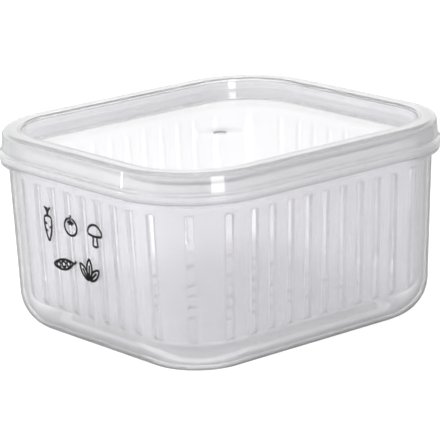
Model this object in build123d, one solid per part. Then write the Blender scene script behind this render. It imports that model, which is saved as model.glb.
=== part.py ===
from build123d import *
import os
from math import radians, tan

# Produce storage container: a clear outer box, a slotted drain basket that
# hangs inside it, and a press-on lid with a sunken panel.
# Millimetres. X is the width, Y the length, +Z up; the origin is the centre
# of the base, on the surface the box stands on.

# Plan of the box: its outer wall just under the rim bead.
# Every other outline is this one moved outward (+) or inward (-).
body_length = 157.4
body_width = 139.8
corner_radius = 35.9

# Outer box
bead_underside = 71.6
bead_height = 3.9
bead_reach = 3.4
bead_slant = 2.3
bead_radius = 1.6
mouth_height = 10.1
mouth_step = 0.3
mouth_wall = 1.3
ledge_rise = 1.0
box_wall = 1.9
box_floor = 2.0
draft_angle = 2.4
base_radius = 16.5
foot_width = 5.0
foot_height = 0.6

# Drain basket
basket_gap = 2.0
basket_wall = 2.0
basket_floor = 1.6
basket_radius = 7.0
sump_depth = 10.0
flange_thickness = 1.4
flange_side_gap = 0.2
slot_width = 3.4
slot_foot = 1.0
slot_head = 4.2
side_slot_pitch = 9.7
end_slot_pitch = 10.3
corner_slots = 3
drain_width = 3.2
drain_length = 18.0
drain_row_pitch = 24.0
drain_column_pitch = 12.0
drain_margin = 14.0

# Lid
rim_width = 8.0
rim_thickness = 1.6
rim_gap = 0.4
rim_edge_radius = 2.2
skirt_gap = 0.4
skirt_wall = 1.4
skirt_depth = 8.1
skirt_flare = 0.6
lip_shoulder = 1.3
lip_flare = 1.1
lip_wall = 1.9
plug_wall = 1.3
plug_edge_radius = 1.0
step_depth = 6.1
step_width = 0.6
panel_depth = 11.0
panel_thickness = 1.4
panel_radius = 2.0

# Shared small sizes
edge_radius = 0.5
gate_radius = 3.2
gate_depth = 0.7
seat_gap = 0.1
floor_overlap = 1.0

# Heights and offsets worked out from the sizes above
slope = tan(radians(draft_angle))
bead_top = bead_underside + bead_height
ledge = bead_underside + ledge_rise
mouth_top = bead_top + mouth_height
mouth_inner = mouth_step - mouth_wall
basket_bottom = box_floor + sump_depth
flange_bottom = ledge + seat_gap
basket_top = flange_bottom + flange_thickness
lid_bottom = bead_top + seat_gap
lid_top = mouth_top + rim_gap + rim_thickness
skirt_inner = mouth_step + skirt_gap
skirt_outer = skirt_inner + skirt_wall
plug_inner = skirt_outer - rim_width


def box_outer(height):
    """Offset of the box's outer wall: it leans out by the draft angle."""
    return (height - bead_underside) * slope


def box_inner(height):
    """Offset of the box's inner wall."""
    return box_outer(height) - box_wall


def basket_outer(height):
    """Offset of the basket's outer wall: it follows the box's inner wall."""
    return box_inner(height) - basket_gap


def basket_inner(height):
    """Offset of the basket's inner wall."""
    return basket_outer(height) - basket_wall


def outline(offset):
    """The plan outline moved by the offset, with corners that stay concentric."""
    width = body_width + 2 * offset
    length = body_length + 2 * offset
    return RectangleRounded(width, length, corner_radius + offset)


def plate(offset, bottom, top):
    """A flat plate that fills an outline between two heights."""
    return extrude(Pos(0, 0, bottom) * outline(offset), amount=top - bottom)


def ring(corners):
    """Carry a closed wall section round the plan outline.

    Each corner of the section is (offset, height, radius of its rounding).
    """
    path = outline(0).wire()
    along = path % 0
    outward = Vector(along.Y, -along.X, 0)
    section = Plane(origin=path @ 0, x_dir=outward, z_dir=-along)
    points = [(offset, height) for offset, height, _ in corners]
    radii = [radius for _, _, radius in corners]
    with BuildPart() as wall:
        with BuildSketch(section):
            with BuildLine():
                FilletPolyline(*points, radius=radii, close=True)
            make_face()
        sweep(path=path)
    return wall.part


def gate_mark(height):
    """The shallow dimple that the moulding gate leaves at the centre of a face."""
    return Pos(0, 0, height) * Cone(gate_radius - gate_depth, gate_radius, 2 * gate_depth)


def make_box():
    """Tub with drafted walls, a large base radius, a rim bead and a thin mouth wall."""
    base_edge = box_outer(0)
    floor_edge = base_edge - base_radius - floor_overlap
    wall = ring(
        [
            (floor_edge, 0, 0),
            (base_edge, 0, base_radius),
            (box_outer(bead_underside), bead_underside, 0),
            (bead_reach, bead_underside + bead_slant, bead_radius),
            (bead_reach, bead_top, 0),
            (mouth_step, bead_top, 0),
            (mouth_step, mouth_top, edge_radius),
            (mouth_inner, mouth_top, edge_radius),
            (mouth_inner, ledge, 0),
            (box_inner(ledge), ledge, 0),
            (box_inner(box_floor), box_floor, base_radius - box_wall),
            (floor_edge, box_floor, 0),
        ]
    )
    floor = plate(floor_edge + floor_overlap / 2, 0, box_floor)
    recess = plate(base_edge - base_radius - foot_width, 0, foot_height)
    gate = Rot(180, 0, 0) * gate_mark(-foot_height)
    return wall + floor - recess - gate


def places(count, pitch):
    """Evenly spaced places about zero."""
    return [(i - (count - 1) / 2) * pitch for i in range(count)]


def places_along(room, size, pitch):
    """Places about zero for as many openings of a size as the room along a side holds."""
    return places(int((room - size) / pitch) + 1, pitch)


def wall_slots():
    """Tall slots through the basket's four sides and four corners."""
    bottom = basket_bottom + basket_floor + slot_foot
    top = flange_bottom - slot_head
    inside = basket_inner(bottom) - basket_radius / 2
    depth = basket_outer(top) + basket_gap / 2 - inside
    face = Plane.YZ * Pos(0, (bottom + top) / 2) * Rectangle(slot_width, top - bottom)
    cutter = extrude(face, amount=depth)
    side_places = places_along(body_length - 2 * corner_radius, slot_width, side_slot_pitch)
    end_places = places_along(body_width - 2 * corner_radius, slot_width, end_slot_pitch)
    x_wall = body_width / 2 + inside
    y_wall = body_length / 2 + inside
    cutters = []
    for turn in (0, 180):
        cutters += [Rot(0, 0, turn) * Pos(x_wall, place, 0) * cutter for place in side_places]
        cutters += [Rot(0, 0, turn + 90) * Pos(y_wall, place, 0) * cutter for place in end_places]
    x_centre = body_width / 2 - corner_radius
    y_centre = body_length / 2 - corner_radius
    for quarter, (x_side, y_side) in enumerate(((1, 1), (-1, 1), (-1, -1), (1, -1))):
        centre = Pos(x_side * x_centre, y_side * y_centre, 0)
        for turn in places(corner_slots, 90 / corner_slots):
            facing = Rot(0, 0, 45 + 90 * quarter + turn)
            cutters.append(centre * facing * Pos(corner_radius + inside, 0, 0) * cutter)
    return cutters


def drain_slots():
    """Rows of short slots through the flat part of the basket's floor."""
    hole = SlotOverall(drain_length, drain_width, rotation=90)
    cutter = extrude(Pos(0, 0, basket_bottom - basket_floor) * hole, amount=3 * basket_floor)
    margin = basket_outer(basket_bottom) - basket_radius - drain_margin
    rows = places_along(body_length + 2 * margin, drain_length, drain_row_pitch)
    columns = places_along(body_width + 2 * margin, drain_width, drain_column_pitch)
    return [Pos(column, row, 0) * cutter for row in rows for column in columns]


def make_basket():
    """Slotted basket whose lip hangs on the ledge inside the box."""
    floor_top = basket_bottom + basket_floor
    base_edge = basket_outer(basket_bottom)
    floor_edge = base_edge - basket_radius - floor_overlap
    flange_edge = mouth_inner - flange_side_gap
    wall = ring(
        [
            (floor_edge, basket_bottom, 0),
            (base_edge, basket_bottom, basket_radius),
            (basket_outer(flange_bottom), flange_bottom, 0),
            (flange_edge, flange_bottom, 0),
            (flange_edge, basket_top, edge_radius),
            (basket_inner(basket_top), basket_top, edge_radius),
            (basket_inner(floor_top), floor_top, basket_radius - basket_wall),
            (floor_edge, floor_top, 0),
        ]
    )
    floor = plate(floor_edge + floor_overlap / 2, basket_bottom, floor_top)
    return wall + floor - wall_slots() - drain_slots()


def make_lid():
    """Lid with a flat rim, an outer skirt that flares to a lip, and a sunken panel."""
    rim_underside = lid_top - rim_thickness
    skirt_foot = lid_top - skirt_depth
    flared = skirt_outer + skirt_flare
    lip_outer = flared + lip_flare
    lip_inner = lip_outer - lip_wall
    lip_top = skirt_foot - lip_shoulder
    step = lid_top - step_depth
    plug_outer = plug_inner + plug_wall
    low_inner = plug_inner - step_width
    low_outer = low_inner + plug_wall
    panel_top = lid_top - panel_depth
    panel_bottom = panel_top - panel_thickness
    panel_edge = low_inner - panel_radius - floor_overlap
    wall = ring(
        [
            (skirt_outer, lid_top, rim_edge_radius),
            (flared, skirt_foot, 0),
            (lip_outer, lip_top, edge_radius),
            (lip_outer, lid_bottom, edge_radius),
            (lip_inner, lid_bottom, 0),
            (lip_inner, lip_top, 0),
            (skirt_inner, skirt_foot, 0),
            (skirt_inner, rim_underside, 0),
            (plug_outer, rim_underside, 0),
            (plug_outer, step, 0),
            (low_outer, step - step_width, 0),
            (low_outer, panel_bottom, panel_radius),
            (panel_edge, panel_bottom, 0),
            (panel_edge, panel_top, 0),
            (low_inner, panel_top, panel_radius),
            (low_inner, step - step_width, 0),
            (plug_inner, step, 0),
            (plug_inner, lid_top, plug_edge_radius),
        ]
    )
    panel = plate(panel_edge + floor_overlap / 2, panel_bottom, panel_top)
    return wall + panel - gate_mark(panel_top)


parts = {
    "outer_box": make_box(),
    "drain_basket": make_basket(),
    "lid": make_lid(),
}

os.makedirs("parts", exist_ok=True)
for name, solid in parts.items():
    export_step(solid, "parts/" + name + ".step")
    size = solid.bounding_box().size
    print(name, "%.1f x %.1f x %.1f mm" % (size.X, size.Y, size.Z), "%.0f mm3" % solid.volume)
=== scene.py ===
# %% [markdown]
# # A produce keeper in clear plastic
# This lesson dresses a small see-through food box: an outer tub, a slotted basket that hangs in it,
# and a press-on lid with a sunken panel. All three are thin moulded walls that follow one rounded
# rectangle, so most of the work is one idea used three times: draw the section of a wall, then
# carry it round the outline. The model's own parts give the sizes and tell what moves with what.

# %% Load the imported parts
import math

import bpy
import numpy as np
from mathutils import Matrix, Vector
from mathutils.geometry import delaunay_2d_cdt


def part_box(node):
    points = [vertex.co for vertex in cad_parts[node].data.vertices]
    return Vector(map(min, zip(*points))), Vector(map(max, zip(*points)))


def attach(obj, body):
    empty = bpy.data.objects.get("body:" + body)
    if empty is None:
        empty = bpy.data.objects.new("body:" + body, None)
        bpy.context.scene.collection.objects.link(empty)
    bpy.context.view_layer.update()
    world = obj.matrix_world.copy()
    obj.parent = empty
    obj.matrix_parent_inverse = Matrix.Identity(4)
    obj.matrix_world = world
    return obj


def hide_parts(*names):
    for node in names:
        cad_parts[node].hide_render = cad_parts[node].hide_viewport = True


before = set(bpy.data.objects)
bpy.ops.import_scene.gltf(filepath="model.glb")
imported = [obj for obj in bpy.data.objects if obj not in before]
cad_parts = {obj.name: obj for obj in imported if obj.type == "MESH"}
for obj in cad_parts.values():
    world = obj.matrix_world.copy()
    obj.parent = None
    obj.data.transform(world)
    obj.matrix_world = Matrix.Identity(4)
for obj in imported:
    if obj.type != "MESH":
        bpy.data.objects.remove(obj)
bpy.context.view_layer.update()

# %% [markdown]
# ## One outline for three mouldings
# Seen from above, every wall follows the same rounded rectangle, moved outward or inward by an offset.
# A wall could be cut from a solid block with boolean tools, but the corners would come out rough.
# Instead, each point of the outline keeps its corner's centre and its outward direction, so that any
# offset gives clean concentric corners. Lengths are in millimetres here and become metres in the mesh.

# %% The driving sizes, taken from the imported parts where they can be
# A drafted wall has offset 0 at the height BEAD_LOW. The bead's flat underside lies at BEAD_FOOT.
MM = 0.001
_, box_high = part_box("outer_box")
lid_low, lid_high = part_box("lid")
BEAD_REACH = 3.4
HALF_X = box_high.x / MM - BEAD_REACH
HALF_Y = box_high.y / MM - BEAD_REACH
CORNER = 35.9
DRAFT = math.tan(math.radians(2.4))
BEAD_LOW = 71.6
BEAD_FOOT = BEAD_LOW + 1.9
SEAT_GAP = 0.1
BEAD_TOP = lid_low.z / MM - SEAT_GAP
MOUTH_TOP = box_high.z / MM
LID_TOP = lid_high.z / MM
BOX_WALL = 1.9
FLAT_RUN = 1.0
QUARTERS = ((1, 1), (-1, 1), (-1, -1), (1, -1))
print("body %.1f x %.1f mm, lid top at %.1f mm" % (2 * HALF_X, 2 * HALF_Y, LID_TOP))


def wall_line(height, inward=0.0):
    """Offset of a drafted wall: (height - BEAD_LOW) * DRAFT, less the inward distance."""
    return (height - BEAD_LOW) * DRAFT - inward


# %% The outline as centres and directions
def ahead_at(degrees):
    """The way along the outline, counter-clockwise, where it faces a direction: (-sin, cos)."""
    return np.array([-math.sin(math.radians(degrees)), math.cos(math.radians(degrees))])


def outline(turn_steps=28, guard=1.2):
    """Corner centres and outward directions round the rounded rectangle, counter-clockwise.

    A quarter turn has evenly spaced directions about one centre. On a straight side the direction
    stays and the centre moves; a point near each end and one between keep the side's shading flat.
    """
    centre_x, centre_y = HALF_X - CORNER, HALF_Y - CORNER
    centres, angles = [], []
    for quarter, (sx, sy) in enumerate(QUARTERS):
        turn = np.linspace(0, 90, turn_steps + 1) + 90 * quarter
        start = np.array([sx * centre_x, sy * centre_y])
        side = 2 * (centre_x if quarter % 2 == 0 else centre_y)
        ahead = ahead_at(turn[-1])
        centres.append(np.repeat(start[None], turn_steps + 1, axis=0))
        angles.append(turn)
        guards = np.array([guard, side / 2, side - guard])
        centres.append(start + guards[:, None] * ahead)
        angles.append(np.full(3, turn[-1]))
    angles = np.radians(np.concatenate(angles))
    return np.concatenate(centres), np.stack([np.cos(angles), np.sin(angles)], axis=1)


def round_outline(centres, normals, offset, height):
    """Points of the outline: centre + (corner radius + offset) * direction, at a height."""
    plan = centres[:, None] + (CORNER + np.asarray(offset))[None, :, None] * normals[:, None]
    tall = np.broadcast_to(np.asarray(height), plan.shape[:2])[..., None]
    return np.concatenate([plan, tall], axis=2)


PATH = outline()
print("outline points:", len(PATH[0]))

# %% [markdown]
# ## A section with rounded corners
# The section is a short list of corners: how far out, how high, and the radius of the rounding.
# Blender's Bevel modifier could round the edges, but each moulded edge has its own radius, so the
# arcs are worked out here. Guard points beside every arc do the work of a designer's holding edges.

# %% Round the corners of a section
def section(corners, step_degrees=12.0, guard=0.35, shortest=0.02):
    """Turn (offset, height, radius) corners into a line with tangent arcs.

    An arc starts radius * tan(turn / 2) before its corner and swings about the centre, which lies on
    the corner's bisector at radius / cos(turn / 2). Guard points stand on the runs beside each arc,
    but not on a run that would leave them less than the shortest distance.
    """
    spots = np.array([corner[:2] for corner in corners], float)
    runs = np.diff(spots, axis=0)
    lengths = np.linalg.norm(runs, axis=1)
    ways = runs / lengths[:, None]
    turns = np.zeros(len(corners))
    turns[1:-1] = np.arccos(np.clip((ways[:-1] * ways[1:]).sum(1), -1, 1))
    trims = np.array([corner[2] for corner in corners]) * np.tan(turns / 2)
    free = lengths - trims[:-1] - trims[1:]
    guards = np.minimum(guard, free / 3)
    line = [spots[:1]]
    for i in range(1, len(corners)):
        here, radius = spots[i], corners[i][2]
        if trims[i - 1] > 0 and guards[i - 1] > shortest:
            line.append(spots[i - 1:i] + ways[i - 1] * (trims[i - 1] + guards[i - 1]))
        if trims[i] > 0 and guards[i - 1] > shortest:
            line.append(here[None] - ways[i - 1] * (trims[i] + guards[i - 1]))
        if trims[i] == 0:
            line.append(here[None])
            continue
        bisector = ways[i] - ways[i - 1]
        middle = here + bisector / np.linalg.norm(bisector) * radius / math.cos(turns[i] / 2)
        steps = max(2, math.ceil(math.degrees(turns[i]) / step_degrees))
        share = np.linspace(0, 1, steps + 1)[:, None]
        start = here - ways[i - 1] * trims[i] - middle
        stop = here + ways[i] * trims[i] - middle
        swing = np.sin((1 - share) * turns[i]) * start + np.sin(share * turns[i]) * stop
        line.append(middle + swing / math.sin(turns[i]))
    return np.vstack(line)


# %% Build a mesh from a grid of points
def wrap_grid(rows, columns):
    """Quads between neighbouring points of a grid whose columns wrap round."""
    row, column = np.meshgrid(np.arange(rows - 1), np.arange(columns), indexing="ij")
    beside = (column + 1) % columns
    here, up = row * columns, (row + 1) * columns
    return np.stack([here + column, up + column, up + beside, here + beside], -1).reshape(-1, 4)


def face_edges(groups):
    """Every face's edges as (from, to) pairs; a group holds faces with equally many corners."""
    return np.concatenate([np.stack([group, np.roll(group, -1, 1)], -1).reshape(-1, 2)
                           for group in groups])


def is_closed(groups):
    """A surface is closed when each of its edges is used once each way."""
    ways = face_edges(groups)
    size = ways.max() + 1
    forward = np.sort(ways[:, 0] * size + ways[:, 1])
    backward = np.sort(ways[:, 1] * size + ways[:, 0])
    return len(np.unique(forward)) == len(forward) and np.array_equal(forward, backward)


def volume_inside(points, groups):
    """Signed volume: a sixth of corner 1 . (corner 2 x corner 3), over fans of each face."""
    total = 0.0
    for group in groups:
        for i in range(1, group.shape[1] - 1):
            one, two, three = (points[group[:, k]] for k in (0, i, i + 1))
            total += (one * np.cross(two, three)).sum() / 6
    return total


def make_piece(name, points, groups, body, node=None, smooth_angle=32.0):
    """Put points in millimetres and groups of faces into a mesh, smooth it, hang it on its body."""
    mesh = bpy.data.meshes.new(name)
    faces = [face for group in groups for face in group.tolist()]
    mesh.from_pydata((points * MM).tolist(), [], faces)
    mesh.shade_smooth()
    mesh.set_sharp_from_angle(angle=math.radians(smooth_angle))
    piece = bpy.data.objects.new(name, mesh)
    bpy.context.scene.collection.objects.link(piece)
    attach(piece, body)
    if node:
        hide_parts(node)
    print("%s: %d points, %d faces, closed: %s, %.1f cm3" % (
        name, len(points), len(faces), is_closed(groups), volume_inside(points, groups) / 1000))
    return piece


def carried_wall(line):
    """Carry an open section round the outline: rows follow the section, columns the outline."""
    grid = round_outline(*PATH, line[:, 0], line[:, 1]).transpose(1, 0, 2)
    return grid.reshape(-1, 3), wrap_grid(len(line), grid.shape[1]), grid.shape[1]


# %% [markdown]
# ## The outer box
# The tub is one moulding: drafted walls, a big soft radius at the base, a bead under the lid, a ledge
# on which the basket hangs, and a thin mouth that goes up into the lid. Its wall has two skins,
# because clear plastic only looks right when light passes a real thickness.

# %% Draw and carry the tub's section
BASE_RADIUS = 16.5
FLOOR = 2.0
FOOT_WIDTH, FOOT_HEIGHT = 5.0, 0.6
MOUTH_STEP, MOUTH_WALL = 0.3, 1.3
LEDGE = BEAD_LOW + 1.0
GATE_RADIUS, GATE_DEPTH = 3.0, 0.7
FAN_EDGE_SHARE, FAN_OUTER, FAN_INNER = 0.6, 20.0, 14.0


def gate_rings(surface, radius, depth, facing):
    """Rings of a moulding gate's dimple: (radius, height) from its edge to its middle."""
    shares = np.array([1.12, 1.0, 0.92, 0.84, 0.76, 0.5, 0.2])
    sink = np.array([0.0, 0.06, 0.35, 0.80, 1.0, 1.0, 1.0]) * depth
    return [(radius * share, surface - facing * s) for share, s in zip(shares, sink)]


def close_with_gate(points, groups, columns, row_start, height, facing, depth=GATE_DEPTH):
    """Fill a flat end with rings that turn from the outline into a round gate mark.

    The first ring lies between the outline and a circle: share * outline + (1 - share) * circle, where
    each point of the outline goes with the circle's point in the same direction.
    """
    edge = points[row_start:row_start + columns, :2]
    angle = np.arctan2(edge[:, 1] / HALF_Y, edge[:, 0] / HALF_X)
    round_edge = np.stack([np.cos(angle), np.sin(angle)], axis=1)
    between = FAN_EDGE_SHARE * edge + (1 - FAN_EDGE_SHARE) * FAN_OUTER * round_edge
    rings = [between, FAN_INNER * round_edge]
    heights = [height, height]
    for ring_radius, ring_height in gate_rings(height, GATE_RADIUS, depth, facing):
        rings.append(round_edge * ring_radius)
        heights.append(ring_height)
    tall = np.repeat(heights, columns)[:, None]
    new_points = np.hstack([np.concatenate(rings), tall])
    start = len(points)
    points = np.vstack([points, new_points])
    rows = np.vstack([np.arange(row_start, row_start + columns)[None],
                      start + np.arange(len(rings) * columns).reshape(-1, columns)])
    here, up = rows[:-1], rows[1:]
    quads = np.stack([here, np.roll(here, -1, 1), np.roll(up, -1, 1), up], -1).reshape(-1, 4)
    cap = rows[-1]
    if facing < 0:
        quads, cap = quads[:, ::-1], cap[::-1]
    return points, [*groups, quads, cap[None]]


def box_section():
    """The tub's section, from the inner floor up, over the mouth and down to the base."""
    base_edge = wall_line(0)
    floor_edge = base_edge - BASE_RADIUS - FLAT_RUN
    foot_edge = base_edge - BASE_RADIUS - FOOT_WIDTH
    return section([
        (floor_edge, FLOOR, 0),
        (wall_line(FLOOR, BOX_WALL), FLOOR, BASE_RADIUS - BOX_WALL),
        (wall_line(LEDGE, BOX_WALL), LEDGE, 0.15),
        (MOUTH_STEP - MOUTH_WALL, LEDGE, 0.2),
        (MOUTH_STEP - MOUTH_WALL, MOUTH_TOP, 0.5),
        (MOUTH_STEP, MOUTH_TOP, 0.5),
        (MOUTH_STEP, BEAD_TOP, 0.2),
        (BEAD_REACH, BEAD_TOP, 0.25),
        (BEAD_REACH, BEAD_FOOT, 0.6),
        (wall_line(BEAD_FOOT), BEAD_FOOT, 0.6),
        (base_edge, 0, BASE_RADIUS),
        (foot_edge, 0, 0.2),
        (foot_edge, FOOT_HEIGHT, 0.2),
        (foot_edge - FLAT_RUN, FOOT_HEIGHT, 0),
    ])


def mark_rim(piece, share):
    """Write down how far each point belongs to the piece's rim: 0 on the plain wall, 1 on the rim."""
    piece.data.attributes.new("rim", "FLOAT", "POINT").data.foreach_set("value", share)


def mark_rim_outside(piece, line, columns, start, rise):
    """Mark a carried wall's rim by its offset: the share is (offset - start) / rise, held in 0 to 1.

    The points that close the wall's flat ends come after the carried ones and keep 0.
    """
    share = np.zeros(len(piece.data.vertices))
    share[:len(line) * columns] = np.repeat(np.clip((line[:, 0] - start) / rise, 0, 1), columns)
    mark_rim(piece, share)


def build_box():
    """The tub: its carried wall, with a flat floor inside and a gate mark under the base.

    Its rim is the bead, which is all that reaches further out than the mouth.
    """
    line = box_section()
    points, wall, columns = carried_wall(line)
    floor_cap = np.arange(columns)[None]
    last_row = len(points) - columns
    points, groups = close_with_gate(points, [wall, floor_cap], columns, last_row, FOOT_HEIGHT, -1)
    piece = make_piece("tub", points, groups, "box", "outer_box")
    mark_rim_outside(piece, line, columns, start=MOUTH_STEP, rise=0.7)
    return piece


tub = build_box()

# %% [markdown]
# ## The lid
# The lid is one more carried section: a flat rim, a skirt that leans out to a flared lip, a short
# inner wall, and a panel sunk a little below the rim, so that another box can stand in it. The
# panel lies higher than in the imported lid, where the photograph shows it.

# %% Draw and carry the lid's section
SKIRT_GAP, SKIRT_WALL, SKIRT_DEPTH, SKIRT_FLARE = 0.4, 1.4, 8.1, 0.6
LIP_SHOULDER, LIP_WALL = 1.3, 1.9
RIM_WIDTH, RIM_THICKNESS = 8.0, 1.6
PLUG_WALL = 1.3
PANEL_DEPTH, PANEL_THICKNESS, PANEL_RUN = 5.4, 1.4, 4.0
LID_GATE_DEPTH = 0.45
SKIRT_INNER = MOUTH_STEP + SKIRT_GAP
SKIRT = SKIRT_INNER + SKIRT_WALL
SKIRT_FOOT = LID_TOP - SKIRT_DEPTH
LIP = lid_high.x / MM - HALF_X
LIP_INNER = LIP - LIP_WALL
LIP_TOP = SKIRT_FOOT - LIP_SHOULDER
LIP_BOTTOM = lid_low.z / MM
PLUG_INNER = SKIRT - RIM_WIDTH
PLUG_OUTER = PLUG_INNER + PLUG_WALL
RIM_LOW = LID_TOP - RIM_THICKNESS
PANEL_TOP = LID_TOP - PANEL_DEPTH
PANEL_LOW = PANEL_TOP - PANEL_THICKNESS
PANEL_EDGE = PLUG_INNER - PANEL_RUN


def lid_section():
    """The lid's section, from the panel's top over the rim and skirt to the panel's underside."""
    return section([
        (PANEL_EDGE, PANEL_TOP, 0),
        (PLUG_INNER, PANEL_TOP, 0.8),
        (PLUG_INNER, LID_TOP, 1.0),
        (SKIRT, LID_TOP, 2.2),
        (SKIRT + SKIRT_FLARE, SKIRT_FOOT, 0.5),
        (LIP, LIP_TOP, 0.45),
        (LIP, LIP_BOTTOM, 0.5),
        (LIP_INNER, LIP_BOTTOM, 0.3),
        (LIP_INNER, LIP_TOP, 0.3),
        (SKIRT_INNER, SKIRT_FOOT, 0.3),
        (SKIRT_INNER, RIM_LOW, 0.5),
        (PLUG_OUTER, RIM_LOW, 0.5),
        (PLUG_OUTER, PANEL_LOW, 1.5),
        (PANEL_EDGE, PANEL_LOW, 0),
    ])


def build_lid():
    """The lid: its carried wall, a gate mark at the panel's middle and a flat underside.

    Its rim is the flat ring and the skirt, from the inner wall's outer side outward.
    """
    line = lid_section()
    points, wall, columns = carried_wall(line)
    under_cap = np.arange(len(points) - columns, len(points))[None, ::-1]
    points, groups = close_with_gate(points, [wall, under_cap], columns, 0, PANEL_TOP, 1, LID_GATE_DEPTH)
    piece = make_piece("lid_cover", points, groups, "cover", "lid")
    mark_rim_outside(piece, line, columns, start=PLUG_OUTER, rise=1.0)
    return piece


cover = build_lid()

# %% [markdown]
# ## The drain basket
# The basket is a thin wall pierced by tall slots, so that water drains and air moves. A boolean cut
# would leave ragged faces round every slot. Here the wall is a grid whose lines run along the slots'
# own edges, and a slot is simply the cells that are left out. Small corner cells are halved, which
# rounds the slot's ends. The inside and outside of the wall share one set of faces.

# %% Where the slots stand
GAP = BOX_WALL + 2.0
BASKET_WALL = 2.0
BASKET_FLOOR = FLOOR + 10.0
FLOOR_TOP = BASKET_FLOOR + 1.6
BASKET_RADIUS = 7.0
FLANGE_LOW = LEDGE + SEAT_GAP
BASKET_TOP = FLANGE_LOW + 1.4
FLANGE_EDGE = MOUTH_STEP - MOUTH_WALL - 0.2
BASKET_LIP_START, BASKET_LIP_RISE = FLANGE_LOW - 2.7, 1.5
SLOT_HALF = 1.7
SLOT_ROUND = 0.9
SLOT_LOW = FLOOR_TOP + 1.0
SLOT_HIGH = FLANGE_LOW - 4.2
CORNER_SLOTS = (15, 45, 75)
PLAIN_STEP, PLAIN_CLEAR = 3, 4
SIDE_PITCH, END_PITCH = 9.7, 10.3
SLOT_EDGE = 0.28
SNIP = SLOT_ROUND * (1 - math.cos(math.radians(45)))
PLAIN, OUTER, INNER, MIDDLE = 0, 1, 2, 3
slot_lines = np.array([-SLOT_HALF, SNIP - SLOT_HALF, SLOT_ROUND - SLOT_HALF])
slot_lines = np.concatenate([slot_lines, -slot_lines[::-1]])
slot_cells = [OUTER, INNER, MIDDLE, INNER, OUTER, PLAIN]


def even_places(room, size, pitch):
    """Even places about zero for as many openings of a size as the room holds."""
    count = int((room - size) / pitch) + 1
    return (np.arange(count) - (count - 1) / 2) * pitch


def basket_columns():
    """Lines that run up the basket: corner centre, direction, sideways shift and the cell after it.

    Round a corner the lines turn about its centre, and a slot's lines are parallel, shifted sideways.
    Along a straight side the centre moves instead. Plain lines fill the wall between the slots.
    """
    columns = []
    for quarter, (sx, sy) in enumerate(QUARTERS):
        centre = np.array([sx * (HALF_X - CORNER), sy * (HALF_Y - CORNER)])
        plain = [a for a in range(0, 90, PLAIN_STEP)
                 if min(abs(a - s) for s in CORNER_SLOTS) > PLAIN_CLEAR]
        for angle in sorted([*plain, *CORNER_SLOTS]):
            way = 90 * quarter + angle
            if angle in CORNER_SLOTS:
                columns += [(*centre, way, shift, cell) for shift, cell in zip(slot_lines, slot_cells)]
            else:
                columns.append((*centre, way, 0.0, PLAIN))
        way = 90 * (quarter + 1)
        ahead = ahead_at(way)
        half, pitch = (HALF_X, END_PITCH) if quarter % 2 == 0 else (HALF_Y, SIDE_PITCH)
        room = 2 * (half - CORNER)
        columns.append((*centre, way, 0.0, PLAIN))
        for place in even_places(room, 2 * SLOT_HALF, pitch):
            for shift, cell in zip(slot_lines, slot_cells):
                columns.append((*(centre + ahead * (room / 2 + place + shift)), way, 0.0, cell))
            columns.append((*(centre + ahead * (room / 2 + place + pitch / 2)), way, 0.0, PLAIN))
        columns.pop()
    table = np.array(columns)
    way = np.radians(table[:, 2])
    return table[:, :2], np.stack([np.cos(way), np.sin(way)], 1), table[:, 3], table[:, 4].astype(int)


# %% The wall's two skins, row by row
# ROWS_ON_RADIUS and ROWS_START are heights above the floor, ROWS_STOP is counted down from the top of
# the slots, and the rows above the slots are counted down from the flange. HOLLOW and FLANGE_SNIP say
# how far the flange's underside is rounded where it starts and where it ends.
ARC_ROWS = 5
ROWS_ON_RADIUS = np.array([2.8, 3.8, 4.8, 5.8, 7.4])
ROWS_START, ROWS_STOP, SLOT_ROWS = 13.4, 6.0, 6
ROWS_UNDER_TOP = np.array([2.7, 1.1, 0.3])
ROWS_UNDER_FLANGE = np.array([2.9, 1.7, 0.7])
HOLLOW, FLANGE_SNIP = 0.4, 0.3


def skin(height, floor, radius, inward):
    """Offset of a skin at a height: an arc of the radius above the floor, then the drafted wall."""
    middle_z = floor + radius
    middle_u = wall_line(middle_z, inward) - radius
    drop = np.clip((middle_z - height) / radius, 0, 1)
    arc = middle_u + radius * np.sqrt(1 - drop ** 2)
    return np.where(height < middle_z, arc, wall_line(height, inward))


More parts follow.
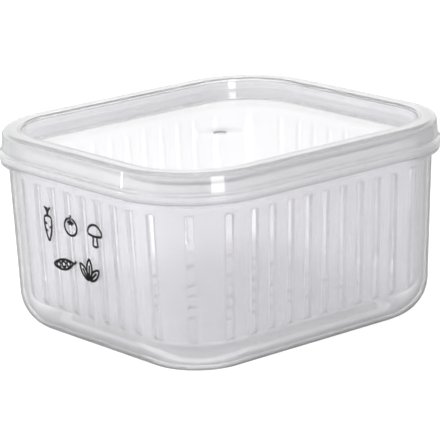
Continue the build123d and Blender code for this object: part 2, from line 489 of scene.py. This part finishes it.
def basket_rows():
    """Matching points of the inner and outer skin, from the floor's edge to the flange's rim.

    Below the slots both skins swing through their own arcs; along the slots they share heights; above
    them the inner skin rolls over the top while the outer one turns out under the flange. Rows stand
    closer together where the wall bends: on the floor's radius and under the flange.
    """
    edge = wall_line(BASKET_FLOOR, GAP) - BASKET_RADIUS - FLAT_RUN
    round_in = BASKET_RADIUS - BASKET_WALL
    turn = np.radians(90) - np.linspace(0, 1, ARC_ROWS)[:, None] * np.array([
        math.acos((FLOOR_TOP + round_in - SLOT_LOW) / round_in),
        math.acos((BASKET_FLOOR + BASKET_RADIUS - SLOT_LOW) / BASKET_RADIUS)])
    low_in = FLOOR_TOP + round_in * (1 - np.sin(turn[:-1, 0]))
    low_out = BASKET_FLOOR + BASKET_RADIUS * (1 - np.sin(turn[:-1, 1]))
    slot_rows = np.concatenate([
        [SLOT_LOW, SLOT_LOW + SNIP, SLOT_LOW + SLOT_ROUND],
        FLOOR_TOP + ROWS_ON_RADIUS,
        np.linspace(FLOOR_TOP + ROWS_START, SLOT_HIGH - ROWS_STOP, SLOT_ROWS),
        [SLOT_HIGH - SLOT_ROUND, SLOT_HIGH - SNIP, SLOT_HIGH]])
    z_in = np.concatenate([low_in, slot_rows, FLANGE_LOW - ROWS_UNDER_TOP])
    z_out = np.concatenate([low_out, slot_rows, FLANGE_LOW - ROWS_UNDER_FLANGE])
    inner = np.stack([skin(z_in, FLOOR_TOP, round_in, GAP + BASKET_WALL), z_in], 1)
    outer = np.stack([skin(z_out, BASKET_FLOOR, BASKET_RADIUS, GAP), z_out], 1)
    wall_in, wall_out = wall_line(BASKET_TOP, GAP + BASKET_WALL), wall_line(FLANGE_LOW, GAP)
    top_in = section([
        (wall_in, FLANGE_LOW + 0.1, 0),
        (wall_in, BASKET_TOP, 0.5),
        (FLANGE_EDGE, BASKET_TOP, 0.4),
        (FLANGE_EDGE, FLANGE_LOW + 0.6, 0),
    ], step_degrees=30, guard=0.2)
    share = np.linspace(0, 1, len(top_in))
    path_out = np.array([
        (wall_out, FLANGE_LOW - HOLLOW),
        (wall_out + HOLLOW / 4, FLANGE_LOW - HOLLOW / 4),
        (wall_out + HOLLOW, FLANGE_LOW),
        (FLANGE_EDGE - FLANGE_SNIP, FLANGE_LOW),
        (FLANGE_EDGE, FLANGE_LOW + FLANGE_SNIP)])
    steps = np.linspace(0, 1, len(path_out))
    top_out = np.stack([np.interp(share, steps, path_out[:, k]) for k in (0, 1)], 1)
    inner = np.vstack([[edge, FLOOR_TOP], inner, top_in])
    outer = np.vstack([[edge, BASKET_FLOOR], outer, top_out])
    first_slot = 1 + len(low_in)
    return inner, outer, first_slot, first_slot + len(slot_rows) - 1


def skin_points(columns, rows):
    """Grid of points: corner centre, plus the radius along the line's direction, plus its shift."""
    centres, ways, shifts, _ = columns
    reach = np.sqrt((CORNER + rows[:, :1]) ** 2 - shifts[None] ** 2)
    across = np.stack([-ways[:, 1], ways[:, 0]], 1)
    plan = centres + reach[..., None] * ways + (shifts[:, None] * across)[None]
    tall = np.broadcast_to(rows[:, 1:2, None], (*plan.shape[:2], 1))
    return np.concatenate([plan, tall], 2).reshape(-1, 3)


# %% Leave the slots out of the wall's faces
def pierced_faces(row_count, cells, first, last):
    """Faces of the wall grid without its slots; cells at a slot's corners keep only a triangle."""
    count = len(cells)
    row, column = np.meshgrid(np.arange(row_count - 1), np.arange(count), indexing="ij")
    beside = (column + 1) % count
    low_left, low_right = row * count + column, row * count + beside
    high_left, high_right = low_left + count, low_right + count
    kind = np.broadcast_to(cells, row.shape)
    level = np.minimum(row - first, last - 1 - row)
    in_slot = (row >= first) & (row < last) & (kind > PLAIN)
    halved = in_slot & (((kind == INNER) & (level == 0)) | ((kind == OUTER) & (level == 1)))
    whole = ~in_slot | ((kind == OUTER) & (level == 0))
    left = np.roll(cells, -1)[column] > kind
    bottom = (row - first) < (last - row) / 2
    quads = np.stack([low_left, high_left, high_right, low_right], -1)
    corner_faces = [
        (left & bottom, (low_left, high_left, low_right)),
        (~left & bottom, (low_left, high_right, low_right)),
        (left & ~bottom, (low_left, high_left, high_right)),
        (~left & ~bottom, (high_left, high_right, low_right))]
    triangles = [np.stack(corners, -1)[halved & where] for where, corners in corner_faces]
    return quads[whole], np.concatenate(triangles)


# %% The floor with its drain slots
DRAIN_HALF, DRAIN_LENGTH = 1.6, 18.0
DRAIN_ROW_PITCH, DRAIN_COLUMN_PITCH, DRAIN_MARGIN = 24.0, 12.0, 14.0
CAP_POINTS = 9
SAME_POINT, LEAST_AREA = 1e-6, 1e-9


def drain_places():
    """Middles of the drain slots: a grid on the flat part of the floor, less a margin."""
    inset = wall_line(BASKET_FLOOR, GAP) - BASKET_RADIUS - DRAIN_MARGIN
    rows = even_places(2 * (HALF_Y + inset), DRAIN_LENGTH, DRAIN_ROW_PITCH)
    columns = even_places(2 * (HALF_X + inset), 2 * DRAIN_HALF, DRAIN_COLUMN_PITCH)
    return np.stack(np.meshgrid(columns, rows), -1).reshape(-1, 2)


def floor_faces(ring):
    """Points and triangles of the flat floor inside a ring, without its rows of round-ended slots.

    The slots' outlines are closed lines in the plane; a constrained triangulation keeps them as edges,
    and a triangle is dropped when its middle lies nearer a slot's spine than half the slot's width,
    less 2% for the straight edges of the slot's round ends.
    """
    spine = DRAIN_LENGTH / 2 - DRAIN_HALF
    half_turn = np.radians(np.linspace(0, 180, CAP_POINTS))
    cap = np.stack([DRAIN_HALF * np.cos(half_turn), DRAIN_HALF * np.sin(half_turn) + spine], 1)
    hole = np.vstack([cap, -cap])
    middles = drain_places()
    points = np.vstack([ring, *(hole + middle for middle in middles)])
    loops = [np.arange(len(ring))]
    loops += [len(ring) + i * len(hole) + np.arange(len(hole)) for i in range(len(middles))]
    edges = np.vstack([np.stack([loop, np.roll(loop, -1)], 1) for loop in loops])
    made = delaunay_2d_cdt([Vector(p) for p in points], edges.tolist(), [], 1, SAME_POINT)
    origin = np.array([found[0] for found in made[3]])
    triangles = origin[np.array(made[2])]
    corner = points[triangles]
    middle = corner.mean(1)
    off = middle[:, None] - middles[None]
    along = np.clip(off[..., 1], -spine, spine)
    away = np.hypot(off[..., 0], off[..., 1] - along).min(1)
    one, two = corner[:, 1] - corner[:, 0], corner[:, 2] - corner[:, 0]
    twice_area = one[:, 0] * two[:, 1] - one[:, 1] * two[:, 0]
    triangles = np.where(twice_area[:, None] > 0, triangles, triangles[:, ::-1])
    return points, triangles[(away > DRAIN_HALF * 0.98) & (np.abs(twice_area) > LEAST_AREA)]


# %% Give the sheet its two skins and close every edge
def two_skins(inner, outer, groups):
    """Join two skins that share faces: an edge that only one face uses gets a wall across it."""
    count = len(inner)
    ways = face_edges(groups)
    forward = ways[:, 0] * count + ways[:, 1]
    backward = ways[:, 1] * count + ways[:, 0]
    rim = ways[~np.isin(backward, forward)]
    walls = np.stack([rim[:, 1], rim[:, 0], rim[:, 0] + count, rim[:, 1] + count], 1)
    far = [group[:, ::-1] + count for group in groups]
    return np.vstack([inner, outer]), [*groups, *far, walls]


def at_height(plan, height):
    """Points of a plan lifted to one height."""
    return np.hstack([plan, np.full((len(plan), 1), height)])


def build_basket():
    """The basket: slotted wall, pierced floor, and a rounded edge on every slot.

    Its rim is the lip: a point's share is (height - BASKET_LIP_START) / BASKET_LIP_RISE, held in 0 to 1.
    """
    columns = basket_columns()
    inner_rows, outer_rows, first, last = basket_rows()
    count = len(columns[0])
    inner, outer = skin_points(columns, inner_rows), skin_points(columns, outer_rows)
    quads, halves = pierced_faces(len(inner_rows), columns[3], first, last)
    floor, triangles = floor_faces(inner[:count, :2])
    holes = floor[count:]
    triangles = np.where(triangles < count, triangles, triangles - count + len(inner))
    inner = np.vstack([inner, at_height(holes, FLOOR_TOP)])
    outer = np.vstack([outer, at_height(holes, BASKET_FLOOR)])
    points, groups = two_skins(inner, outer, [quads, halves, triangles])
    piece = make_piece("basket", points, groups, "basket", "drain_basket",
                       smooth_angle=40.0)
    mark_rim(piece, np.clip((points[:, 2] - BASKET_LIP_START) / BASKET_LIP_RISE, 0, 1))
    rounding = piece.modifiers.new("rounding", "BEVEL")
    rounding.width = SLOT_EDGE * MM
    rounding.segments = 2
    rounding.limit_method = "ANGLE"
    rounding.angle_limit = math.radians(50)
    rounding.harden_normals = True
    return piece


basket = build_basket()

# %% [markdown]
# ## The printed mark
# One end of the box carries a small print in thin black lines. Ink is a film a few hundredths of a
# millimetre thick, so each line is a real flat ribbon that lies just on the wall. Curve objects with a
# bevel would stand out like wire. The picture is five simple vegetables, drawn with ovals and arcs.

# %% Lines of ink on the leaning wall
INK_WIDTH = 1.05
PRINT_SCALE = 1.15
INK_NEAR, INK_FAR = 0.02, 0.07
PRINT_X, PRINT_Z = -2.5, 46.0
LINE_POINTS = 33
BLUNT = 0.3


def oval(x, z, half_x, half_z, start=0, stop=360, lean=0):
    """An arc of an oval about (x, z), from one angle to another, then leaned by an angle."""
    turn, tilt = np.radians(np.linspace(start, stop, LINE_POINTS)), math.radians(lean)
    across, up = half_x * np.cos(turn), half_z * np.sin(turn)
    return np.stack([x + across * math.cos(tilt) - up * math.sin(tilt),
                     z + across * math.sin(tilt) + up * math.cos(tilt)], 1)


def bow(start, stop, rise):
    """A bowed line: the straight run plus rise * 4 * share * (1 - share) square to it."""
    start, stop = np.array(start, float), np.array(stop, float)
    share = np.linspace(0, 1, LINE_POINTS)[:, None]
    run = stop - start
    square = np.array([-run[1], run[0]]) / np.linalg.norm(run)
    return start + share * run + 4 * rise * share * (1 - share) * square


def ink_line(path):
    """A flat ribbon along a path on the wall.

    Near an end its half width follows a circle, but never falls below BLUNT times the full half width.
    """
    path = PRINT_SCALE * path + np.array([PRINT_X, PRINT_Z])
    along = np.gradient(path, axis=0)
    along /= np.linalg.norm(along, axis=1)[:, None]
    square = np.stack([-along[:, 1], along[:, 0]], 1)
    walked = np.concatenate([[0], np.cumsum(np.linalg.norm(np.diff(path, axis=0), axis=1))])
    to_end = np.minimum(walked, walked[-1] - walked) / (INK_WIDTH / 2)
    rounding = np.clip(1 - (1 - np.minimum(to_end, 1)) ** 2, BLUNT ** 2, 1)
    half = INK_WIDTH / 2 * np.sqrt(rounding)[:, None]
    sides = np.stack([path + half * square, path - half * square, path - half * square,
                      path + half * square], 1)
    lift = np.array([INK_NEAR, INK_NEAR, INK_FAR, INK_FAR])
    depth = -(HALF_Y + wall_line(sides[..., 1]) + lift)
    grid = np.stack([sides[..., 0], depth, sides[..., 1]], -1)
    last = 4 * (len(path) - 1)
    ends = np.array([[0, 1, 2, 3], [last + 3, last + 2, last + 1, last]])
    return grid.reshape(-1, 3), np.vstack([wrap_grid(len(path), 4), ends])


# %% Five small vegetables in two staggered rows
def leaf(x, z, length, width, lean):
    """A leaf: two bowed edges from stalk to tip, and a midrib."""
    tip = (x + length * math.sin(math.radians(lean)), z + length * math.cos(math.radians(lean)))
    rib = (x + 0.7 * (tip[0] - x), z + 0.7 * (tip[1] - z))
    return [bow((x, z), tip, width / 2), bow((x, z), tip, -width / 2), bow((x, z), rib, 0.1)]


def carrot(x, z):
    """A carrot with its tip down: two bowed flanks, a domed shoulder, three rings and a tuft."""
    shoulder, tip = 2.1, (x, z - 6.4)
    flanks = [bow((x + side * shoulder, z + 2.2), tip, side * 0.7) for side in (-1, 1)]
    rings = [bow((x - 2.0, z + 0.6), (x - 0.5, z + 0.3), -0.1),
             bow((x + 1.9, z - 0.7), (x + 0.6, z - 1.0), 0.1),
             bow((x - 1.6, z - 2.1), (x - 0.4, z - 2.4), -0.1)]
    tuft = [bow((x, z + 3.4), (x + reach, z + 6.6), rise)
            for reach, rise in ((-1.9, -0.5), (-0.1, 0.25), (1.8, 0.5))]
    return [*flanks, oval(x, z + shoulder, shoulder, 1.2, 0, 180), *rings, *tuft]


def tomato(x, z):
    """A tomato: a wide oval, four short sepals and a stalk."""
    crown = (x, z + 2.4)
    sepals = ((-2.0, 1.6, 0.3), (-1.1, 0.6, 0.2), (1.1, 0.6, -0.2), (2.0, 1.6, -0.3))
    lines = [oval(x, z, 3.6, 3.2, 100, 440)]
    lines += [bow(crown, (x + reach, z + tip), rise) for reach, tip, rise in sepals]
    lines.append(bow(crown, (x + 0.5, z + 4.6), 0.25))
    return lines


def mushroom(x, z):
    """A mushroom: a domed cap, its curled rim, two stem flanks and a rounded foot."""
    cap = [oval(x, z, 4.0, 3.4, 0, 180), oval(x, z, 4.0, 0.9, 180, 360)]
    stem = [bow((x + side * 1.2, z - 0.8), (x + side * 1.5, z - 4.0), side * -0.25) for side in (-1, 1)]
    return [*cap, *stem, oval(x, z - 4.0, 1.5, 0.8, 180, 360)]


def pea_pod(x, z):
    """An open pod leaning to one side, with three peas in it and a curl at its stalk."""
    tip, stalk = (x - 6.0, z - 1.2), (x + 6.0, z + 1.2)
    lines = [bow(tip, stalk, -2.2), bow(tip, stalk, 1.6)]
    lines += [oval(x + 3.0 * i - 3.0, z + 0.6 * i - 0.8, 1.1, 1.1) for i in range(3)]
    lines.append(bow(stalk, (x + 7.6, z + 2.6), -0.4))
    return lines


def salad(x, z):
    """Three leaves that fan out from one foot."""
    fan = ((-0.4, 7.5, 2.8, -38), (0.0, 8.5, 3.0, 4), (0.4, 7.5, 2.8, 48))
    leaves = [leaf(x + across, z, length, width, lean) for across, length, width, lean in fan]
    return [line for one in leaves for line in one]


def print_picture():
    """All lines of the picture as one piece that rides on the box."""
    lines = [*carrot(-15.5, 6.5), *tomato(-2.0, 8.0), *mushroom(12.0, 8.0),
             *pea_pod(-8.0, -7.0), *salad(6.9, -10.5)]
    ribbons = [ink_line(line) for line in lines]
    shift = 4 * LINE_POINTS
    points = np.concatenate([points for points, _ in ribbons])
    quads = np.concatenate([faces + i * shift for i, (_, faces) in enumerate(ribbons)])
    return make_piece("printed_vegetables", points, [quads], "box")


printed = print_picture()

# %% [markdown]
# ## Clear plastic
# The mouldings are polypropylene: see-through but a little milky, with a soft shine. A plain glass
# shader would be too crisp and too bright at the edges. Here a refracting shell gives the shine and
# the bending of light, a small white share gives the milkiness, and an absorbing volume darkens the
# places where the line of sight runs a long way inside a wall, which draws the outline of every edge.
# The rims look unlike the plain walls: the lid's flat ring and skirt are satin beside its polished panel.
# So each plastic has two looks, and the rim share on the points blends them. The tint also carries
# painted light and shade: the walls are painted dark where they turn edge-on, the box's bead and the
# basket's lip are painted a little lighter and keep almost no dark edge, and the lid's ring and skirt
# are painted darker. The lid also has a clear coat, whose shine draws its panel.
# Lamps pass straight through by a shadow-ray switch, so that the inside is as bright as in real life.

# %% Helpers for node trees
def node(tree, kind, values=(), **settings):
    """Add a node: settings are its properties, values its sockets; a socket value is linked."""
    made = tree.nodes.new(kind)
    for name, value in settings.items():
        setattr(made, name, value)
    for name, value in values:
        socket = made.inputs[name]
        if isinstance(value, bpy.types.NodeSocket):
            tree.links.new(value, socket)
        else:
            socket.default_value = value
    return made


def empty_tree(owner):
    """Switch nodes on, clear them and return the tree."""
    owner.use_nodes = True
    owner.node_tree.nodes.clear()
    return owner.node_tree


def math_node(tree, operation, one, two):
    """The result of one operation on two numbers or sockets."""
    return node(tree, "ShaderNodeMath", [(0, one), (1, two)], operation=operation).outputs[0]


def ramp(tree, value, span, results):
    """Go evenly from the first result to the second while the value crosses the span."""
    return node(tree, "ShaderNodeMapRange", [
        ("Value", value), ("From Min", span[0]), ("From Max", span[1]),
        ("To Min", results[0]), ("To Max", results[1])]).outputs["Result"]


# %% The plastic shader
SOAK_GREY = (0.5, 0.5, 0.52, 1)
REFRACTION = 1.49
COAT_ROUGHNESS = 0.06
GRAIN_HEIGHT = 0.01 * MM


def clear_plastic(name, tint, milk, roughness, painted_light_on_face, painted_shade_on_edge, painted_edge_span, soak, passes, coat=0.0):
    """Clear plastic with two looks: milk, roughness, painted_light_on_face and painted_shade_on_edge are
    (wall, rim) pairs.

    The tint is multiplied by painted_light_on_face where the surface faces the eye: painted light that
    lifts the rim, or painted shade that dims it. It is multiplied by painted_shade_on_edge where the
    surface is edge-on, a painted shade that draws a dark outline. The change runs over painted_edge_span,
    measured by 1 - sqrt(cosine of the angle to the eye), which is Facing at a Blend of 0.25.
    """
    material = bpy.data.materials.new(name)
    tree = empty_tree(material)
    place = node(tree, "ShaderNodeTexCoord").outputs["Object"]
    rim = node(tree, "ShaderNodeAttribute", attribute_name="rim").outputs["Fac"]
    broad = node(tree, "ShaderNodeTexNoise", [
        ("Vector", place), ("Scale", 45.0), ("Detail", 3.0)]).outputs["Fac"]
    fine = node(tree, "ShaderNodeTexNoise", [
        ("Vector", place), ("Scale", 700.0), ("Detail", 2.0)]).outputs["Fac"]
    drift = ramp(tree, broad, (0.35, 0.65), (0.8, 1.2))
    frost = math_node(tree, "MULTIPLY", drift, ramp(tree, rim, (0, 1), roughness))
    clear = ramp(tree, rim, (0, 1), (1 - milk[0], 1 - milk[1]))
    colour = node(tree, "ShaderNodeValToRGB", [("Fac", broad)])
    for stop, share in zip(colour.color_ramp.elements, (0.985, 1.0)):
        stop.color = (*[channel * share for channel in tint], 1)
    # Painted light and shade: the tint is scaled on the rim, and darkened where the wall turns edge-on.
    facing = node(tree, "ShaderNodeLayerWeight", [("Blend", 0.25)]).outputs["Facing"]
    face_paint_share = ramp(tree, rim, (0, 1), painted_light_on_face)
    edge_paint_share = ramp(tree, rim, (0, 1), painted_shade_on_edge)
    painted_light_share = ramp(tree, facing, painted_edge_span, (face_paint_share, edge_paint_share))
    painted_tint = node(tree, "ShaderNodeVectorMath", [
        (0, colour.outputs["Color"]), ("Scale", painted_light_share)], operation="SCALE")
    bump = node(tree, "ShaderNodeBump", [
        ("Strength", 1.0), ("Distance", GRAIN_HEIGHT), ("Height", fine)])
    shell = node(tree, "ShaderNodeBsdfPrincipled", [
        ("Base Color", painted_tint.outputs["Vector"]), ("Roughness", frost), ("IOR", REFRACTION),
        ("Transmission Weight", clear), ("Coat Weight", coat),
        ("Coat Roughness", COAT_ROUGHNESS), ("Normal", bump.outputs["Normal"])])
    passing = node(tree, "ShaderNodeBsdfTransparent", [("Color", (passes, passes, passes, 1))])
    either = node(tree, "ShaderNodeMixShader", [
        (0, node(tree, "ShaderNodeLightPath").outputs["Is Shadow Ray"]),
        (1, shell.outputs[0]), (2, passing.outputs[0])])
    inside = node(tree, "ShaderNodeVolumeAbsorption", [("Color", SOAK_GREY), ("Density", soak)])
    node(tree, "ShaderNodeOutputMaterial", [
        ("Surface", either.outputs[0]), ("Volume", inside.outputs[0])])
    return material


# The face and edge shares are painted light and shade: the box's bead and the basket's lip painted
# lighter, the lid's ring and skirt painted darker, and the plain walls painted dark edge-on.
box_plastic = clear_plastic(
    "clear_box", tint=(0.903, 0.899, 0.915), milk=(0.09, 0.02), roughness=(0.06, 0.06),
    painted_light_on_face=(1.0, 1.08), painted_shade_on_edge=(0.05, 1.0), painted_edge_span=(0.22, 0.55), soak=10.0, passes=0.95)
basket_plastic = clear_plastic(
    "clear_basket", tint=(0.883, 0.878, 0.895), milk=(0.19, 0.08), roughness=(0.20, 0.20),
    painted_light_on_face=(1.0, 1.06), painted_shade_on_edge=(0.6, 0.95), painted_edge_span=(0.45, 0.9), soak=20.0, passes=0.94)
lid_plastic = clear_plastic(
    "clear_lid", tint=(0.965, 0.965, 0.975), milk=(0.08, 0.18), roughness=(0.06, 0.20),
    painted_light_on_face=(1.0, 0.885), painted_shade_on_edge=(0.15, 0.15), painted_edge_span=(0.5, 0.8), soak=30.0, passes=0.96,
    coat=1.0)
for piece, plastic in ((tub, box_plastic), (basket, basket_plastic), (cover, lid_plastic)):
    piece.data.materials.append(plastic)


# %% Printing ink
def printing_ink():
    """Near-black ink: its coat is a little uneven, so its shade and shine drift over the print."""
    material = bpy.data.materials.new("black_ink")
    tree = empty_tree(material)
    place = node(tree, "ShaderNodeTexCoord").outputs["Object"]
    coat = node(tree, "ShaderNodeTexNoise", [
        ("Vector", place), ("Scale", 900.0), ("Detail", 3.0)]).outputs["Fac"]
    shade = node(tree, "ShaderNodeValToRGB", [("Fac", coat)])
    for stop, grey in zip(shade.color_ramp.elements, (0.004, 0.012)):
        stop.color = (grey, grey, grey * 1.1, 1)
    film = node(tree, "ShaderNodeBsdfPrincipled", [
        ("Base Color", shade.outputs["Color"]), ("Roughness", ramp(tree, coat, (0, 1), (0.35, 0.6))),
        ("Specular IOR Level", 0.1)])
    node(tree, "ShaderNodeOutputMaterial", [("Surface", film.outputs[0])])
    return material


printed.data.materials.append(printing_ink())

# %% [markdown]
# ## The studio
# The object stands on a pale floor that runs out of sight. The floor and the surroundings look white
# to the camera, and pale through the plastic and in its shine, which keeps clear walls clean. Seen
# through the plastic, the floor's glow carries a painted shadow: it is darker near the object than
# further off, and a painted shade makes it darker towards the camera's right than its left, which
# gives the walls their shading. The light itself comes from a large soft lamp overhead, a fill lamp at
# the left and two strips. Only the strips show in a shine: their reflections draw the upright
# highlights on the lid's skirt and the rounded corners.

# %% Camera
AZIMUTH, ELEVATION, ROLL = 49.87, 15.24, -1.76
DISTANCE = 1171.0
AIM_HEIGHT = 43.8
FOCAL_PIXELS, IMAGE = 2719.2, 440.0
CENTRE_PIXEL = (222.5, 219.4)


def direction(azimuth, elevation):
    """Unit vector towards an azimuth, counted from -Y towards +X, and an elevation in degrees."""
    az, el = math.radians(azimuth), math.radians(elevation)
    return Vector((math.sin(az) * math.cos(el), -math.cos(az) * math.cos(el), math.sin(el)))


def aim_camera():
    """Look at the middle of the object: right and up follow from the direction back, then roll."""
    back = direction(AZIMUTH, ELEVATION)
    right = direction(AZIMUTH + 90, 0)
    up = back.cross(right)
    cos_roll, sin_roll = math.cos(math.radians(ROLL)), math.sin(math.radians(ROLL))
    side = cos_roll * right + sin_roll * up
    top = cos_roll * up - sin_roll * right
    camera = bpy.data.objects.new("camera", bpy.data.cameras.new("camera"))
    turn = Matrix((side, top, back)).transposed().to_4x4()
    turn.translation = Vector((0, 0, AIM_HEIGHT * MM)) + back * DISTANCE * MM
    camera.matrix_world = turn
    camera.data.sensor_width = 36.0
    camera.data.lens = FOCAL_PIXELS / IMAGE * camera.data.sensor_width
    camera.data.shift_x = (IMAGE / 2 - CENTRE_PIXEL[0]) / IMAGE
    camera.data.shift_y = (CENTRE_PIXEL[1] - IMAGE / 2) / IMAGE
    camera.data.clip_start = 0.01
    bpy.context.scene.collection.objects.link(camera)
    bpy.context.scene.camera = camera
    print("lens %.1f mm at %.2f m" % (camera.data.lens, DISTANCE * MM))


aim_camera()

# %% Floor and surroundings
# The glow seen through plastic is lower under the object and towards the camera's right: a painted shadow
# and a painted shade.
FLOOR_GLOW_CAMERA, FLOOR_GLOW_IN_PAINTED_SHADOW, FLOOR_GLOW_BEYOND = 0.6, 0.6, 1.1
PAINTED_SHADOW_REACH = (0.07, 0.14)
PAINTED_SIDE_SHADE_SPAN, PAINTED_SIDE_SHADE_SHARE = (-0.05, 0.06), (1.05, 0.77)
FLOOR_GREY = 0.65
WORLD_DIFFUSE, WORLD_SHINE_LOW, WORLD_SHINE_HIGH = 0.3, 1.35, 0.6
SHINE_HEIGHTS = (0.27, 0.5)


def seen_white(tree):
    """1 for rays from the camera, in a shine or through clear plastic, and 0 for rays that light."""
    path = node(tree, "ShaderNodeLightPath")
    shine = math_node(tree, "MAXIMUM", path.outputs["Is Glossy Ray"],
                      path.outputs["Is Transmission Ray"])
    return math_node(tree, "MAXIMUM", path.outputs["Is Camera Ray"], shine)


def white_floor(size=4.0):
    """A wide sheet that takes soft shadow, and glows where the camera or the plastic sees it.

    The glow seen through plastic is a painted shadow: it goes by the distance from the object's middle,
    times a painted shade that falls along the camera's right.
    """
    mesh = bpy.data.meshes.new("floor")
    mesh.from_pydata([(-size, -size, 0), (size, -size, 0), (size, size, 0), (-size, size, 0)],
                     [], [(0, 1, 2, 3)])
    floor = bpy.data.objects.new("floor", mesh)
    bpy.context.scene.collection.objects.link(floor)
    material = bpy.data.materials.new("white_floor")
    tree = empty_tree(material)
    path = node(tree, "ShaderNodeLightPath")
    place = node(tree, "ShaderNodeTexCoord").outputs["Object"]
    reach = node(tree, "ShaderNodeVectorMath", [(0, place)], operation="LENGTH").outputs["Value"]
    # Painted shadow under the object and painted shade towards the camera's right, in the glow seen
    # through plastic.
    painted_contact_shadow = ramp(tree, reach, PAINTED_SHADOW_REACH, (FLOOR_GLOW_IN_PAINTED_SHADOW, FLOOR_GLOW_BEYOND))
    rightward = node(tree, "ShaderNodeVectorMath", [
        (0, place), (1, direction(AZIMUTH + 90, 0))], operation="DOT_PRODUCT").outputs["Value"]
    glow_with_painted_shade = math_node(tree, "MULTIPLY", painted_contact_shadow, ramp(tree, rightward, PAINTED_SIDE_SHADE_SPAN, PAINTED_SIDE_SHADE_SHARE))
    lift = math_node(tree, "MAXIMUM",
                     math_node(tree, "MULTIPLY", path.outputs["Is Transmission Ray"], glow_with_painted_shade),
                     math_node(tree, "MULTIPLY", path.outputs["Is Camera Ray"], FLOOR_GLOW_CAMERA))
    sheet = node(tree, "ShaderNodeBsdfDiffuse", [("Color", (FLOOR_GREY, FLOOR_GREY, FLOOR_GREY, 1))])
    glow = node(tree, "ShaderNodeEmission", [("Strength", lift)])
    both = node(tree, "ShaderNodeAddShader", [(0, sheet.outputs[0]), (1, glow.outputs[0])])
    node(tree, "ShaderNodeOutputMaterial", [("Surface", both.outputs[0])])
    mesh.materials.append(material)


def soft_surroundings():
    """A world that lights evenly and is white to the camera.

    In a shine or through clear plastic it dims with height, from WORLD_SHINE_LOW to WORLD_SHINE_HIGH.
    """
    world = bpy.data.worlds.new("studio")
    bpy.context.scene.world = world
    tree = empty_tree(world)
    way = node(tree, "ShaderNodeTexCoord").outputs["Generated"]
    height = node(tree, "ShaderNodeSeparateXYZ", [(0, way)]).outputs["Z"]
    shine = ramp(tree, height, SHINE_HEIGHTS, (WORLD_SHINE_LOW, WORLD_SHINE_HIGH))
    path = node(tree, "ShaderNodeLightPath")
    strength = node(tree, "ShaderNodeMix", [
        ("Factor", seen_white(tree)), ("A", WORLD_DIFFUSE), ("B", shine)]).outputs["Result"]
    white = node(tree, "ShaderNodeMix", [
        ("Factor", path.outputs["Is Camera Ray"]), ("A", strength), ("B", 1.0)]).outputs["Result"]
    light = node(tree, "ShaderNodeBackground", [("Strength", white)])
    node(tree, "ShaderNodeOutputWorld", [("Surface", light.outputs[0])])


white_floor()
soft_surroundings()


# %% Lamps that the camera and the plastic's clear view don't see
def softbox(name, place, target, width, height, watts, in_shine=True):
    """A flat lamp at a place, facing a target. Only a shine can show the lamp itself, by in_shine."""
    way = (Vector(place) - Vector(target)).normalized()
    lamp = bpy.data.lights.new(name, "AREA")
    lamp.shape = "RECTANGLE"
    lamp.size, lamp.size_y = width, height
    lamp.energy = watts
    holder = bpy.data.objects.new(name, lamp)
    holder.location = place
    holder.rotation_euler = way.to_track_quat("Z", "Y").to_euler()
    holder.visible_camera = False
    holder.visible_transmission = False
    holder.visible_glossy = in_shine
    bpy.context.scene.collection.objects.link(holder)


MIDDLE_OF_OBJECT = (0, 0, 0.05)
LEFT_CORNER, RIGHT_CORNER = (0.034, -0.08, 0.07), (0.068, -0.06, 0.08)
softbox("overhead", (0.1, -0.1, 1.2), MIDDLE_OF_OBJECT, 1.2, 1.2, watts=14, in_shine=False)
softbox("left_fill", (-0.5, -0.9, 0.6), MIDDLE_OF_OBJECT, 0.8, 0.6, watts=8.5, in_shine=False)
softbox("left_strip", (-0.21, -0.304, 0.075), LEFT_CORNER, 0.015, 0.15, watts=0.045)
softbox("right_strip", (0.41, -0.133, 0.13), RIGHT_CORNER, 0.11, 0.22, watts=0.35)

# %% View settings and enough bounces for eight walls in a row
CLEAR_BOUNCES, SHINE_BOUNCES = 32, 8
scene = bpy.context.scene
scene.view_settings.view_transform = "Standard"
scene.cycles.max_bounces = CLEAR_BOUNCES
scene.cycles.transmission_bounces = CLEAR_BOUNCES
scene.cycles.transparent_max_bounces = CLEAR_BOUNCES
scene.cycles.glossy_bounces = SHINE_BOUNCES
